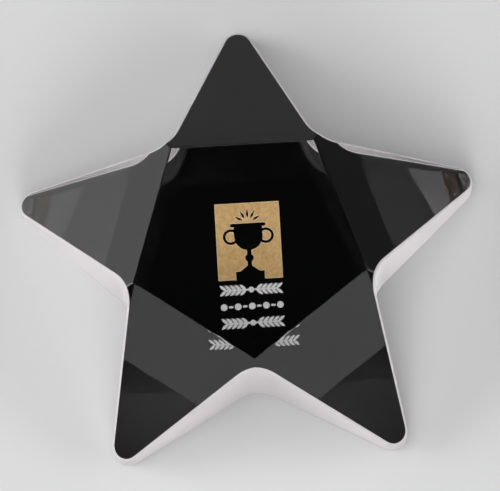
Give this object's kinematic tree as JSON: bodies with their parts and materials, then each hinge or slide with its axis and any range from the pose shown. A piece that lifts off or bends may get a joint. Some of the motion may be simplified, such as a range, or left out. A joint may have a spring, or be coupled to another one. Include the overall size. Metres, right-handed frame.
{
  "type": "star trophy",
  "caption": "Faceted crystal star paperweight award with a flat pentagon front, frosted side walls and colour-filled artwork etched into its flat back.",
  "frame": {"origin": "centre of the star on its flat back face", "axes": "+Z out of the flat pentagon front, away from the back; +Y towards the upper point; +X to the right as the artwork is read from the front"},
  "size_m": [0.1016, 0.097, 0.0266],
  "materials": {
    "crystal": "polished front, facets and back, with fine-ground frosted side walls",
    "gold_fill": "matt gold enamel filled into the etching, faintly mottled",
    "white_fill": "matt off-white enamel filled into the etching"
  },
  "bodies": {
    "root": {"crystal_star": "crystal", "gold_panel": "gold_fill", "white_garland_upper": "white_fill", "white_bead_row": "white_fill", "white_garland_lower": "white_fill"}
  },
  "joints": []
}
